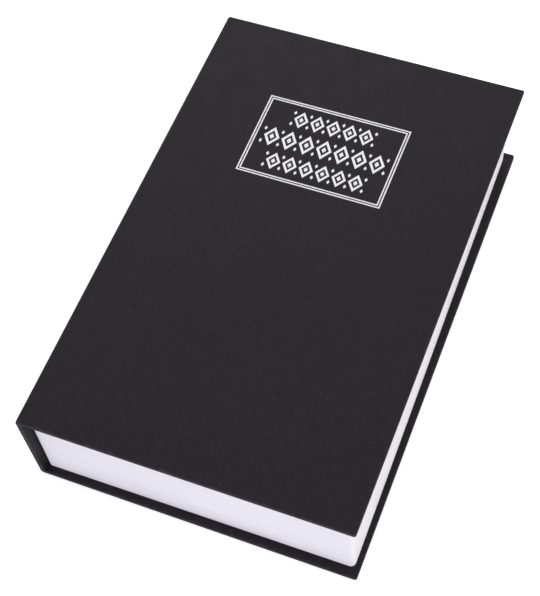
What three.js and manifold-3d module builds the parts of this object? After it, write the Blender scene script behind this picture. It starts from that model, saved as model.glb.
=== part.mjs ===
// A safe in the shape of a closed book: a cloth-covered case, a moulded frame that looks like the
// page edges, and a steel box with a hinged lid and a cam lock.
// Lengths are millimetres. X runs from the spine to the fore-edge, Y from the foot to the head,
// Z up from the back cover. The origin is the middle of the back cover's outer face.
import * as THREE from 'three';
import { mergeVertices } from 'three/addons/utils/BufferGeometryUtils.js';
import Module from 'manifold-3d';

const wasm = await Module();
wasm.setup();

// The closed book
const bookWidth = 154;
const bookHeight = 242;
const bookThickness = 53;

// The case: grey board with cloth on both faces, folded in along the edges
const boardThickness = 2;
const clothThickness = 0.25;
const turnInWidth = 15;
const jointGap = 0.25;

// The page frame, a moulded ring that stands on the back cover
const headSquare = 4;
const foreSquare = 3.25;
const spineGap = 0.5;
const coverGap = 0.25;
const frameWall = 1.75;
const frameCorner = 5;
const lipWidth = 6;
const lipThickness = 1.75;
const skirtWall = 1.5;
const openingCorner = 3;
const ribThickness = 1.5;
const ribHeadroom = 1.5;
const ribGap = 0.5;
const longSideRibShares = [-0.8, -0.4, 0, 0.4, 0.8];
const shortSideRibShares = [-0.6, 0, 0.6];

// The steel box
const boxSheet = 1;
const boxCorner = 3;
const flangeGap = 0.5;

// The lid of the box
const lidSheet = 1;
const lidRecess = 3.5;
const lidSeatGap = 0.25;
const lidEdgeGap = 0.5;
const lidLap = 3.25;
const stiffenerDepth = 5;
const stiffenerGap = 0.75;
const stiffenerEndGap = 3;

// The lid hinge, one long strip of knuckles on a pin
const leafWidth = 8;
const leafThickness = 0.75;
const leafEdgeGap = 0.5;
const hingeEndSet = 20.5;
const knuckleCount = 9;
const knuckleGap = 0.4;
const knuckleRadius = 1.5;
const knuckleBore = 0.8;
const pinRadius = 0.7;
const pinOverhang = 0.6;
const leafClearance = 0.4;
const lidHingeSet = 1.25;
const wallHingeSet = 1.5;

// Rivets that hold the hinge leaves
const rivetCount = 4;
const rivetRadius = 1;
const rivetHeadRadius = 2;
const rivetHeadHeight = 0.75;
const rivetHoleGap = 0.3;
const rivetSet = 5.25;
const rivetSpreadShare = 0.86;

// The cam lock on the lid
const lockInset = 20;
const bezelRadius = 10;
const bezelHeight = 1.75;
const bezelBevel = 0.6;
const barrelRadius = 8;
const barrelFlat = 7;
const barrelLength = 15;
const barrelFloor = 1.5;
const lockFit = 0.3;
const nutFlatRadius = 10;
const nutHeight = 3;
const washerRadius = 11;
const washerThickness = 1;
const plugRadius = 5.5;
const plugSink = 0.25;
const plugNeckRadius = 3.75;
const plugSquare = 5;
const keywayWidth = 7;
const keywayGap = 2;
const keywayDepth = 14;
const waferCount = 5;
const waferPitch = 2.4;
const waferThickness = 0.8;
const waferLength = 9;
const waferWidth = 5;
const waferFirstDepth = 3;
const waferFit = 0.3;
const stopWasherRadius = 6;
const stopWasherThickness = 1;
const stopTabWidth = 3;
const stopTabReach = 7.5;
const camThickness = 2;
const camHalfWidth = 5;
const camReach = 17;
const screwRadius = 1.5;
const screwLength = 6;
const screwHeadRadius = 3;
const screwHeadHeight = 1.6;
const screwSlotWidth = 0.8;
const screwSlotDepth = 0.6;

// The strike, an angle bracket on the box wall that the cam turns under
const strikeSheet = 1.25;
const strikeReach = 8;
const strikeHalfLength = 12;
const strikeHeight = 9;
const strikeGap = 0.4;

// The two keys, which lie on the floor of the box
const keyThickness = 1.75;
const keyBowRadius = 9.5;
const keyHoleRadius = 2;
const keyHoleSet = 4.5;
const keyBladeLength = 21;
const keyBladeHalfWidth = 3.25;
const keyNeckHalfWidth = 4.25;
const keyNeckLength = 3;
const keyCutDepth = 1.6;
const keyCutMargin = 1;
const keyCutCount = 5;
const keyCutShares = [[0, 0], [1, 0.33], [1, 0.5], [0, 0.88]];
const keyTipLength = 3;
const keyBowFromMiddle = 45;
const keyFromWall = 14.5;
const keyTurns = [THREE.MathUtils.degToRad(6), THREE.MathUtils.degToRad(172)];

// Working values
const overrun = 1;
const weldTolerance = 0.0001;
const cornerSteps = 6;
const roundSides = 40;
const smallRoundSides = 20;

// Places that follow from the sizes above
const coverThickness = boardThickness + 2 * clothThickness;
const spineX = -bookWidth / 2;
const foreX = bookWidth / 2;
const footY = -bookHeight / 2;
const headY = bookHeight / 2;
const frontCoverBottom = bookThickness - coverThickness;
const frameTop = frontCoverBottom - coverGap;
const frameArea = {
  x0: spineX + coverThickness + spineGap,
  x1: foreX - foreSquare,
  y0: footY + headSquare,
  y1: headY - headSquare,
};
const openingArea = inset(frameArea, lipWidth);
const lidTop = frameTop - lidRecess;
const lidBottom = lidTop - lidSheet;
const flangeTop = lidBottom - lidSeatGap;
const flangeBottom = flangeTop - boxSheet;
const boxFloorTop = coverThickness + boxSheet;
const hingeX = openingArea.x0 + leafEdgeGap + leafWidth;
const hingeZ = lidTop + knuckleRadius;
const lidArea = { ...inset(openingArea, lidEdgeGap), x0: hingeX + lidHingeSet };
const boxArea = { ...inset(lidArea, lidLap), x0: hingeX + wallHingeSet };
const hingeLength = lidArea.y1 - lidArea.y0 - 2 * hingeEndSet;
const boxInside = inset(boxArea, boxSheet);
const lockX = boxInside.x1 - lockInset;

// Finishes
const clothFinish = finish(0x2f2c31, 0.85, 0);
const boardFinish = finish(0x8b8378, 0.95, 0);
const liningFinish = finish(0x1d1c1f, 0.8, 0);
const pageFinish = finish(0xeceaf2, 0.6, 0);
const boxFinish = finish(0x1a1b1d, 0.5, 0.4);
const zincFinish = finish(0xb4b6b8, 0.35, 1);
const chromeFinish = finish(0xd2d3d5, 0.15, 1);
const brassFinish = finish(0xc2a468, 0.3, 1);
const nickelFinish = finish(0xcccbc8, 0.25, 1);

function finish(color, roughness, metalness) {
  return () => new THREE.MeshStandardMaterial({ color, roughness, metalness });
}

function part(name, geometry, makeMaterial) {
  const mesh = new THREE.Mesh(geometry, makeMaterial());
  mesh.name = name;
  return mesh;
}

function inset(area, margin) {
  return {
    x0: area.x0 + margin,
    x1: area.x1 - margin,
    y0: area.y0 + margin,
    y1: area.y1 - margin,
  };
}

// A closed geometry becomes a solid that can be joined and cut, and back again.
function solid(geometry) {
  const bare = geometry.index ? geometry.toNonIndexed() : geometry.clone();
  bare.deleteAttribute('normal');
  bare.deleteAttribute('uv');
  const welded = mergeVertices(bare, weldTolerance);
  return new wasm.Manifold(new wasm.Mesh({
    numProp: 3,
    vertProperties: new Float32Array(welded.attributes.position.array),
    triVerts: new Uint32Array(welded.index.array),
  }));
}

function geometryOf(body) {
  const mesh = body.getMesh();
  const geometry = new THREE.BufferGeometry();
  geometry.setAttribute('position', new THREE.BufferAttribute(mesh.vertProperties, 3));
  geometry.setIndex(new THREE.BufferAttribute(mesh.triVerts, 1));
  geometry.computeVertexNormals();
  return geometry;
}

function joined(solids) {
  return solids.reduce((sum, next) => sum.add(next));
}

function cut(body, tools) {
  return tools.reduce((rest, tool) => rest.subtract(tool), body);
}

function block(x0, x1, y0, y1, z0, z1) {
  const geometry = new THREE.BoxGeometry(x1 - x0, y1 - y0, z1 - z0);
  geometry.translate((x0 + x1) / 2, (y0 + y1) / 2, (z0 + z1) / 2);
  return solid(geometry);
}

function roundedOutline(area, radius) {
  const { x0, x1, y0, y1 } = area;
  const quarter = Math.PI / 2;
  const outline = new THREE.Shape();
  outline.absarc(x1 - radius, y0 + radius, radius, -quarter, 0, false);
  outline.absarc(x1 - radius, y1 - radius, radius, 0, quarter, false);
  outline.absarc(x0 + radius, y1 - radius, radius, quarter, 2 * quarter, false);
  outline.absarc(x0 + radius, y0 + radius, radius, 2 * quarter, 3 * quarter, false);
  outline.closePath();
  return outline;
}

function extruded(outline, z0, z1, curveSegments = cornerSteps) {
  const geometry = new THREE.ExtrudeGeometry(outline, {
    depth: z1 - z0,
    bevelEnabled: false,
    curveSegments,
  });
  geometry.translate(0, 0, z0);
  return solid(geometry);
}

function slab(area, radius, z0, z1) {
  return extruded(roundedOutline(area, radius), z0, z1);
}

function ring(area, radius, wall, z0, z1) {
  const outside = slab(area, radius, z0, z1);
  const inside = slab(inset(area, wall), radius - wall, z0 - overrun, z1 + overrun);
  return outside.subtract(inside);
}

function rod(x, y, radius, z0, z1, sides = roundSides) {
  const geometry = new THREE.CylinderGeometry(radius, radius, z1 - z0, sides);
  geometry.rotateX(Math.PI / 2);
  geometry.translate(x, y, (z0 + z1) / 2);
  return solid(geometry);
}

function rodAlongY(radius, y0, y1) {
  const geometry = new THREE.CylinderGeometry(radius, radius, y1 - y0, smallRoundSides);
  geometry.translate(0, (y0 + y1) / 2, 0);
  return solid(geometry);
}

function turned(profile, sides = roundSides) {
  const geometry = new THREE.LatheGeometry(profile.map(([r, z]) => new THREE.Vector2(r, z)), sides);
  geometry.rotateX(Math.PI / 2);
  return solid(geometry);
}

// A cover lies flat between two levels; the cloth wraps it and leaves a window for the lining.
function makeCover(name, z0, z1, insideFacesUp) {
  const cover = { x0: spineX, x1: foreX, y0: footY, y1: headY };
  const core = inset(cover, clothThickness);
  const windowX1 = foreX - turnInWidth;
  const windowY1 = headY - turnInWidth;
  const liningZ0 = insideFacesUp ? z1 - clothThickness : z0;
  const liningZ1 = liningZ0 + clothThickness;
  const board = block(core.x0, core.x1, core.y0, core.y1, z0 + clothThickness, z1 - clothThickness);
  const lining = block(core.x0, windowX1, -windowY1, windowY1, liningZ0, liningZ1);
  const windowZ0 = insideFacesUp ? liningZ0 : liningZ0 - overrun;
  const windowZ1 = insideFacesUp ? liningZ1 + overrun : liningZ1;
  const window = block(core.x0, windowX1, -windowY1, windowY1, windowZ0, windowZ1);
  const wrap = cut(block(spineX, foreX, footY, headY, z0, z1), [board, window]);
  return [
    part(`${name}_board`, geometryOf(board), boardFinish),
    part(`${name}_wrap`, geometryOf(wrap), clothFinish),
    part(`${name}_lining`, geometryOf(lining), liningFinish),
  ];
}

// The spine stands on edge between the two covers.
function makeSpine() {
  const z0 = coverThickness + jointGap;
  const z1 = frontCoverBottom - jointGap;
  const insideX = spineX + coverThickness;
  const windowY1 = headY - turnInWidth;
  const coreX0 = spineX + clothThickness;
  const coreX1 = insideX - clothThickness;
  const coreY1 = headY - clothThickness;
  const board = block(coreX0, coreX1, -coreY1, coreY1, z0, z1);
  const lining = block(coreX1, insideX, -windowY1, windowY1, z0, z1);
  const boardRoom = block(coreX0, coreX1, -coreY1, coreY1, z0 - overrun, z1 + overrun);
  const window = block(coreX1, insideX + overrun, -windowY1, windowY1, z0 - overrun, z1 + overrun);
  const wrap = cut(block(spineX, insideX, footY, headY, z0, z1), [boardRoom, window]);
  return [
    part('spine_board', geometryOf(board), boardFinish),
    part('spine_wrap', geometryOf(wrap), clothFinish),
    part('spine_lining', geometryOf(lining), liningFinish),
  ];
}

// The page frame: outer wall, top lip, a skirt that surrounds the lid, and ribs that centre the box.
function makePageFrame() {
  const wallInside = inset(frameArea, frameWall);
  const wall = ring(frameArea, frameCorner, frameWall, coverThickness, frameTop);
  const lipPlate = slab(frameArea, frameCorner, frameTop - lipThickness, frameTop);
  const lipHole = slab(openingArea, openingCorner, frameTop - lipThickness - overrun, frameTop + overrun);
  const skirtArea = inset(openingArea, -skirtWall);
  const skirt = ring(skirtArea, openingCorner + skirtWall, skirtWall, flangeTop + lidSeatGap, frameTop);
  const ribTop = flangeBottom - ribHeadroom;
  const middleX = (frameArea.x0 + frameArea.x1) / 2;
  const halfWidth = (frameArea.x1 - frameArea.x0) / 2;
  const rooted = frameWall / 2;
  const ribs = [];
  for (const share of longSideRibShares) {
    const y0 = share * frameArea.y1 - ribThickness / 2;
    const y1 = y0 + ribThickness;
    ribs.push(block(wallInside.x0 - rooted, boxArea.x0 - ribGap, y0, y1, coverThickness, ribTop));
    ribs.push(block(boxArea.x1 + ribGap, wallInside.x1 + rooted, y0, y1, coverThickness, ribTop));
  }
  for (const share of shortSideRibShares) {
    const x0 = middleX + share * halfWidth - ribThickness / 2;
    const x1 = x0 + ribThickness;
    ribs.push(block(x0, x1, wallInside.y0 - rooted, boxArea.y0 - ribGap, coverThickness, ribTop));
    ribs.push(block(x0, x1, boxArea.y1 + ribGap, wallInside.y1 + rooted, coverThickness, ribTop));
  }
  const frame = joined([wall, lipPlate.subtract(lipHole), skirt, ...ribs]);
  return part('page_frame', geometryOf(frame), pageFinish);
}

function rivetPlaces() {
  const span = rivetSpreadShare * hingeLength;
  return Array.from({ length: rivetCount }, (_, i) => span * (i / (rivetCount - 1) - 1 / 2));
}

function makeSteelBox() {
  const flangeArea = inset(frameArea, frameWall + flangeGap);
  const tray = joined([
    slab(boxArea, boxCorner, coverThickness, flangeTop),
    slab(flangeArea, boxCorner, flangeBottom, flangeTop),
  ]);
  const inside = slab(boxInside, boxCorner - boxSheet, boxFloorTop, flangeTop + overrun);
  const holes = rivetPlaces().map((y) => rivetHole(hingeX - rivetSet, y, flangeBottom, flangeTop));
  return part('steel_box', geometryOf(cut(tray, [inside, ...holes])), boxFinish);
}

function rivetHole(x, y, z0, z1) {
  return rod(x, y, rivetRadius + rivetHoleGap, z0 - overrun, z1 + overrun, smallRoundSides);
}

// A rivet through a leaf and the sheet below it, headed on both faces.
function makeRivet(name, x, y, z0, z1) {
  const domeRadiusShare = 0.7;
  const domeHeightShare = 0.6;
  const shoulder = rivetHeadHeight * domeHeightShare;
  const profile = [
    [0, z0 - rivetHeadHeight],
    [rivetHeadRadius * domeRadiusShare, z0 - rivetHeadHeight],
    [rivetHeadRadius, z0 - shoulder],
    [rivetHeadRadius, z0],
    [rivetRadius, z0],
    [rivetRadius, z1],
    [rivetHeadRadius, z1],
    [rivetHeadRadius, z1 + shoulder],
    [rivetHeadRadius * domeRadiusShare, z1 + rivetHeadHeight],
    [0, z1 + rivetHeadHeight],
  ];
  const mesh = part(name, geometryOf(turned(profile, smallRoundSides)), zincFinish);
  mesh.position.set(x, y, 0);
  return mesh;
}

function makeLid() {
  const plate = slab(lidArea, openingCorner - lidEdgeGap, lidBottom, lidTop);
  const x0 = boxInside.x0 + stiffenerEndGap;
  const x1 = boxInside.x1 - stiffenerEndGap;
  const outer = boxInside.y1 - stiffenerGap;
  const inner = outer - lidSheet;
  const stiffeners = [
    block(x0, x1, inner, outer, lidBottom - stiffenerDepth, lidTop),
    block(x0, x1, -outer, -inner, lidBottom - stiffenerDepth, lidTop),
  ];
  const lockHole = flattedRod(barrelRadius + lockFit, barrelFlat + lockFit, -overrun, lidSheet + overrun)
    .translate(lockX, 0, lidBottom);
  const holes = rivetPlaces().map((y) => rivetHole(hingeX + rivetSet, y, lidBottom, lidTop));
  const lid = cut(joined([plate, ...stiffeners]), [lockHole, ...holes]);
  return part('lid_plate', geometryOf(lid), boxFinish);
}

// The knuckles alternate between the two leaves, the box's leaf holding both ends.
function knuckleSpans(first) {
  const length = (hingeLength - (knuckleCount - 1) * knuckleGap) / knuckleCount;
  const spans = [];
  for (let i = first; i < knuckleCount; i += 2) {
    const y0 = -hingeLength / 2 + i * (length + knuckleGap);
    spans.push([y0, y0 + length]);
  }
  return spans;
}

// Both leaves are drawn about the hinge line.
function makeBoxLeaf() {
  const z0 = flangeTop - hingeZ;
  const z1 = z0 + leafThickness;
  const plate = block(-leafWidth, -knuckleRadius - leafClearance, -hingeLength / 2, hingeLength / 2, z0, z1);
  const webX1 = -knuckleRadius + leafThickness;
  const knuckles = knuckleSpans(0).flatMap(([y0, y1]) => [
    block(-leafWidth / 2, webX1, y0, y1, z0, z1),
    block(-knuckleRadius, webX1, y0, y1, z0, 0),
    rodAlongY(knuckleRadius, y0, y1),
  ]);
  const bore = rodAlongY(knuckleBore, -hingeLength, hingeLength);
  const holes = rivetPlaces().map((y) => rivetHole(-rivetSet, y, z0, z1));
  const leaf = cut(joined([plate, ...knuckles]), [bore, ...holes]);
  return part('box_hinge_leaf', geometryOf(leaf), zincFinish);
}

function makeLidLeaf() {
  const z0 = lidTop - hingeZ;
  const z1 = z0 + leafThickness;
  const plate = block(knuckleRadius + leafClearance, leafWidth, -hingeLength / 2, hingeLength / 2, z0, z1);
  const knuckles = knuckleSpans(1).flatMap(([y0, y1]) => [
    block(0, leafWidth / 2, y0, y1, z0, z1),
    rodAlongY(knuckleRadius, y0, y1),
  ]);
  const bore = rodAlongY(knuckleBore, -hingeLength, hingeLength);
  const holes = rivetPlaces().map((y) => rivetHole(rivetSet, y, z0, z1));
  const leaf = cut(joined([plate, ...knuckles]), [bore, ...holes]);
  return part('lid_hinge_leaf', geometryOf(leaf), zincFinish);
}

function makeHinge() {
  const hinge = new THREE.Group();
  const pinEnd = hingeLength / 2 + pinOverhang;
  hinge.position.set(hingeX, 0, hingeZ);
  hinge.add(makeBoxLeaf(), makeLidLeaf());
  hinge.add(part('hinge_pin', geometryOf(rodAlongY(pinRadius, -pinEnd, pinEnd)), zincFinish));
  rivetPlaces().forEach((y, i) => {
    const boxSide = [flangeBottom - hingeZ, flangeTop - hingeZ + leafThickness];
    const lidSide = [lidBottom - hingeZ, lidTop - hingeZ + leafThickness];
    hinge.add(makeRivet(`box_rivet_${i + 1}`, -rivetSet, y, ...boxSide));
    hinge.add(makeRivet(`lid_rivet_${i + 1}`, rivetSet, y, ...lidSide));
  });
  return hinge;
}

// A round bar with two flats, as on a threaded lock barrel.
function flattedRod(radius, flat, z0, z1) {
  const flats = block(-radius - overrun, radius + overrun, -flat, flat, z0 - overrun, z1 + overrun);
  return rod(0, 0, radius, z0, z1).intersect(flats);
}

function squareHole(halfSide, z0, z1) {
  return block(-halfSide, halfSide, -halfSide, halfSide, z0 - overrun, z1 + overrun);
}

// The lock is drawn about its own axis, with zero at the lid's top face.
const barrelEnd = -barrelLength;
const stopTop = barrelEnd - lockFit;
const camTop = stopTop - stopWasherThickness;
const camBottom = camTop - camThickness;
const squareEnd = camBottom + lockFit;
const plugTop = bezelHeight - plugSink;
const squareHalf = plugSquare / 2;

function makeBarrel() {
  const bezel = turned([
    [0, 0],
    [bezelRadius, 0],
    [bezelRadius, bezelHeight - bezelBevel],
    [bezelRadius - bezelBevel, bezelHeight],
    [0, bezelHeight],
  ]);
  const body = flattedRod(barrelRadius, barrelFlat, barrelEnd, bezelHeight / 2);
  const bore = rod(0, 0, plugRadius + lockFit, barrelEnd + barrelFloor, bezelHeight + overrun);
  const neckHole = rod(0, 0, plugNeckRadius + lockFit, barrelEnd - overrun, 0);
  return part('lock_barrel', geometryOf(cut(bezel.add(body), [bore, neckHole])), chromeFinish);
}

function makeNut() {
  const sides = 6;
  const circumradius = nutFlatRadius / Math.cos(Math.PI / sides);
  const top = -lidSheet - washerThickness;
  const nut = rod(0, 0, circumradius, top - nutHeight, top, sides);
  const hole = rod(0, 0, barrelRadius + lockFit, top - nutHeight - overrun, top + overrun);
  return part('lock_nut', geometryOf(nut.subtract(hole)), zincFinish);
}

function makeWasher() {
  const z1 = -lidSheet;
  const z0 = z1 - washerThickness;
  const hole = rod(0, 0, barrelRadius + lockFit, z0 - overrun, z1 + overrun);
  return part('lock_washer', geometryOf(rod(0, 0, washerRadius, z0, z1).subtract(hole)), zincFinish);
}

function waferLevels() {
  const first = plugTop - waferFirstDepth;
  return Array.from({ length: waferCount }, (_, i) => first - i * waferPitch);
}

function makePlug() {
  const shoulder = barrelEnd + barrelFloor + lockFit;
  const body = joined([
    rod(0, 0, plugRadius, shoulder, plugTop),
    rod(0, 0, plugNeckRadius, stopTop, shoulder + overrun),
    block(-squareHalf, squareHalf, -squareHalf, squareHalf, squareEnd, stopTop + overrun),
  ]);
  const keyway = block(-keywayWidth / 2, keywayWidth / 2, -keywayGap / 2, keywayGap / 2,
    plugTop - keywayDepth, plugTop + overrun);
  const screwHole = rod(0, 0, screwRadius + lockFit, squareEnd - overrun,
    camBottom + screwLength + lockFit, smallRoundSides);
  const slotHalf = waferWidth / 2 + waferFit;
  const slots = waferLevels().map((z) => block(-plugRadius - overrun, plugRadius + overrun,
    -slotHalf, slotHalf, z - waferThickness - waferFit, z + waferFit));
  return part('lock_plug', geometryOf(cut(body, [keyway, screwHole, ...slots])), chromeFinish);
}

// A thin tumbler across the plug, with a window that the key passes through.
function makeWafer(index, z) {
  const plate = block(-waferLength / 2, waferLength / 2, -waferWidth / 2, waferWidth / 2,
    z - waferThickness, z);
  const window = block(-keywayWidth / 2, keywayWidth / 2, -keywayGap / 2, keywayGap / 2,
    z - waferThickness - overrun, z + overrun);
  return part(`tumbler_wafer_${index + 1}`, geometryOf(plate.subtract(window)), brassFinish);
}

function makeStopWasher() {
  const disc = rod(0, 0, stopWasherRadius, camTop, stopTop);
  const tab = block(0, stopTabReach, -stopTabWidth / 2, stopTabWidth / 2, camTop, stopTop);
  const hole = squareHole(squareHalf + lockFit, camTop, stopTop);
  return part('cam_stop_washer', geometryOf(disc.add(tab).subtract(hole)), zincFinish);
}

// The cam points at the foot while the lock is open, and turns towards the fore-edge to lock.
function makeCam() {
  const outline = new THREE.Shape();
  outline.moveTo(camHalfWidth, 0);
  outline.absarc(0, 0, camHalfWidth, 0, Math.PI, false);
  outline.lineTo(-camHalfWidth, -(camReach - camHalfWidth));
  outline.absarc(0, -(camReach - camHalfWidth), camHalfWidth, Math.PI, 2 * Math.PI, false);
  outline.closePath();
  const arm = extruded(outline, camBottom, camTop, 2 * cornerSteps);
  const hole = squareHole(squareHalf + lockFit, camBottom, camTop);
  return part('lock_cam', geometryOf(arm.subtract(hole)), zincFinish);
}

function makeCamScrew() {
  const headBottom = camBottom - screwHeadHeight;
  const screw = joined([
    rod(0, 0, screwHeadRadius, headBottom, camBottom),
    rod(0, 0, screwRadius, headBottom, camBottom + screwLength, smallRoundSides),
  ]);
  const slot = block(-screwHeadRadius - overrun, screwHeadRadius + overrun,
    -screwSlotWidth / 2, screwSlotWidth / 2, headBottom - overrun, headBottom + screwSlotDepth);
  return part('cam_screw', geometryOf(screw.subtract(slot)), zincFinish);
}

function makeLock() {
  const lock = new THREE.Group();
  const turning = new THREE.Group();
  lock.position.set(lockX, 0, lidTop);
  turning.add(makePlug(), makeStopWasher(), makeCam(), makeCamScrew());
  waferLevels().forEach((z, i) => turning.add(makeWafer(i, z)));
  lock.add(makeBarrel(), makeWasher(), makeNut(), turning);
  return lock;
}

function makeStrike() {
  const z0 = lidTop + camTop + strikeGap;
  const wallX = boxInside.x1;
  const shelf = block(wallX - strikeReach, wallX, -strikeHalfLength, strikeHalfLength, z0, z0 + strikeSheet);
  const back = block(wallX - strikeSheet, wallX, -strikeHalfLength, strikeHalfLength, z0, z0 + strikeHeight);
  return part('lock_strike', geometryOf(shelf.add(back)), zincFinish);
}

// A key is a flat plate: a round bow, a neck with shoulders, and a blade with cuts along one edge.
function makeKey(index, y, turn) {
  const outline = new THREE.Shape();
  const bowAngle = Math.asin(keyNeckHalfWidth / keyBowRadius);
  const neckEnd = keyBowRadius * Math.cos(bowAngle) + keyNeckLength;
  const bladeEnd = neckEnd + keyBladeLength;
  const cutPitch = (keyBladeLength - keyTipLength - 2 * keyCutMargin) / keyCutCount;
  outline.absarc(0, 0, keyBowRadius, Math.PI / 2 + bowAngle, Math.PI / 2 - bowAngle + 2 * Math.PI, false);
  outline.lineTo(keyNeckHalfWidth, neckEnd);
  outline.lineTo(keyBladeHalfWidth, neckEnd);
  for (let i = 0; i < keyCutCount; i += 1) {
    const y0 = neckEnd + keyCutMargin + i * cutPitch;
    for (const [depthShare, pitchShare] of keyCutShares) {
      outline.lineTo(keyBladeHalfWidth - depthShare * keyCutDepth, y0 + pitchShare * cutPitch);
    }
  }
  outline.lineTo(keyBladeHalfWidth, bladeEnd - keyTipLength);
  outline.lineTo(0, bladeEnd);
  outline.lineTo(-keyBladeHalfWidth, bladeEnd - keyTipLength);
  outline.lineTo(-keyBladeHalfWidth, neckEnd);
  outline.lineTo(-keyNeckHalfWidth, neckEnd);
  outline.closePath();
  const plate = extruded(outline, 0, keyThickness, roundSides);
  const hole = rod(0, -keyHoleSet, keyHoleRadius, -overrun, keyThickness + overrun, smallRoundSides);
  const key = part(`key_${index + 1}`, geometryOf(plate.subtract(hole)), nickelFinish);
  key.position.set(boxInside.x1 - keyFromWall, y, boxFloorTop);
  key.rotation.z = turn;
  return key;
}

const safe = new THREE.Group();
safe.add(...makeCover('back', 0, coverThickness, true));
safe.add(...makeSpine());
safe.add(...makeCover('front', frontCoverBottom, bookThickness, false));
safe.add(makePageFrame());
safe.add(makeSteelBox());
safe.add(makeLid());
safe.add(makeHinge());
safe.add(makeLock());
safe.add(makeStrike());
keyTurns.forEach((turn, i) => safe.add(makeKey(i, (2 * i - 1) * keyBowFromMiddle, turn)));

export default safe;
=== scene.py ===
# The looks of a safe in the shape of a closed book, lying on its back cover.
# Sizes are in millimetres and MM makes them Blender's metres. X runs from the spine to the
# fore-edge, Y from the foot to the head, Z up from the outer face of the back cover.
import math

import bmesh
import bpy
from mathutils import Matrix, Vector


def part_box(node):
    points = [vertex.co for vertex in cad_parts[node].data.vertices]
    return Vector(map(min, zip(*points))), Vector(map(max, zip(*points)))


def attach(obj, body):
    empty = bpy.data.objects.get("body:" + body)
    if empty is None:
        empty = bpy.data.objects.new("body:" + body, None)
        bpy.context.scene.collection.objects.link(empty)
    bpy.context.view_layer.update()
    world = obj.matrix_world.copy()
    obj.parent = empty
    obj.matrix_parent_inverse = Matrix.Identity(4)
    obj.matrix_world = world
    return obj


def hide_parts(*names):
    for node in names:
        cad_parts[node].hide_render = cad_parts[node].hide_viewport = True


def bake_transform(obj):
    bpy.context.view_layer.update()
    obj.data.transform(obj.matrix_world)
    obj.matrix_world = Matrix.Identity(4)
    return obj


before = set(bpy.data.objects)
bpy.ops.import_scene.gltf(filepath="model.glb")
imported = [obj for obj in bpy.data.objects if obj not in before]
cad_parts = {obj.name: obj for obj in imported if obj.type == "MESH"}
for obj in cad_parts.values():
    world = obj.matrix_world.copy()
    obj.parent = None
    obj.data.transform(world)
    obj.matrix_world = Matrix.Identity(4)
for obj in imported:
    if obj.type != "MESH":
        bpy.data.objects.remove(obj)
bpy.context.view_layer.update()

MM = 0.001

# sizes read from the frame


def extent(node):
    """Lowest and highest corner of a CAD node, in millimetres."""
    low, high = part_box(node)
    return low / MM, high / MM


back_low, back_high = extent("back_wrap")
block_low, block_high = extent("page_frame")

SPINE_X = back_low.x
FORE_X = back_high.x
HEAD_Y = back_high.y
THICKNESS = extent("front_wrap")[1].z
BOARD = back_high.z - back_low.z
CREASE_X = SPINE_X + BOARD  # the spine's inner face, which meets the covers in a crease

# sizes of the covering

SKIN = 0.25  # the leatherette where it crosses a fold
BOARD_EDGE = 0.35  # rounding of a covered board's edges
BOARD_CORNER = 1.2  # rounding of its outer corners, seen from above
SHARP_CORNER = 0.4  # and of the front cover's corner between head and fore-edge
UPPER_FOLD = 0.9  # outside radius where the case folds from the spine to the front cover
LOWER_FOLD = 1.7  # and to the back cover
EAR = 0.9  # how far the cloth at the spine stands out past the foot edge of the front cover
EAR_REACH = 8.0  # the length along that edge in which it fades to about a third
EAR_START = 8.0  # the height on the spine at which it begins
EAR_DEPTH = 12.0  # how far it reaches in from the foot
EAR_ROWS = 4  # rows of the mesh in that depth
EAR_ROUND = 1.4  # rounding of the foot edge there
LAP = 0.8  # how far the fold's leatherette runs on over the boards
GROOVE_EDGE = 0.3  # rounding of a board's edge in the fold's groove
GROOVE_STEPS = 3  # faces round it
TURN_IN = 15.0  # width of leatherette turned in behind a board's edge
MITRE_WIDTH = 0.2  # half the width of the seam where two turn-ins meet
MITRE_DEPTH = 0.14
WEAR_REACH = 1.1  # how far the rubbed look reaches in from an edge
MITRE_START = BOARD_EDGE + WEAR_REACH + 3 * MITRE_WIDTH  # distance from the corner to the seam
SPINE_WEAR = 0.2  # the spine's ends are rubbed less than a cover's edge, which is 1
GROOVE_WEAR = 0.5  # and so is the edge in a fold's groove
PAPER_BORDER = 4.0  # leatherette left showing round the lining paper
PAPER = 0.06  # height of the lining paper over the board
PAPER_OVER_TURN_IN = 0.16  # and where it lies on the turned-in leatherette
PAPER_SLOPE = 0.8  # width in which it rises to that
SPINE_PAPER = 0.12  # height of the spine's lining over its board
ROUND_STEPS = 6  # faces round a quarter of a board's edge

# sizes of the page block

BLOCK_SPINE_CORNER = 1.9  # rounding of its upright corners beside the spine
BLOCK_FORE_CORNER = 2.4  # and at the fore-edge
BLOCK_WALL = 1.75  # thickness of its outer walls
BLOCK_LIP = 6.0  # width of the lip round the opening, walls included
LIP_THICKNESS = 1.75
SKIRT_WALL = 1.5  # thickness of the skirt that hangs from the lip's inner edge
SKIRT_DEPTH = 4.5  # and how far below the top it reaches
OPENING_CORNER = 3.0  # rounding of the opening's corners
BLOCK_EDGE = 0.5  # rounding of the level edges
WALL_ROUND = 0.3  # the least rounding inside a corner of the wall
BLOCK_TURN = 0.0055  # slope of the foot and head walls, which are a little out of square
FORE_LEAN = 0.0095  # and of the fore-edge wall
FORE_SET = 0.35  # how far that wall sits back from its plain place
CORNER_STEPS = 10  # faces round an upright corner
EDGE_STEPS = 4  # and round a level edge
LEAF_LINES = 46
LEAF_LINE_RISE = 0.07  # how far a line stands out from the wall
LEAF_LINE_WIDTH = 0.55
LEAF_MARGIN = 1.2  # from the block's underside to the first line, and from the last to its top
LEAF_STRAY = 0.12  # how far a line may be off its place, as a share of the spacing
LEAF_SEED = 7
LEAF_SHARP_ANGLE = 60  # degrees; a line's crest turns by less, so it shades softly

# sizes of the silver stamping

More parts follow.
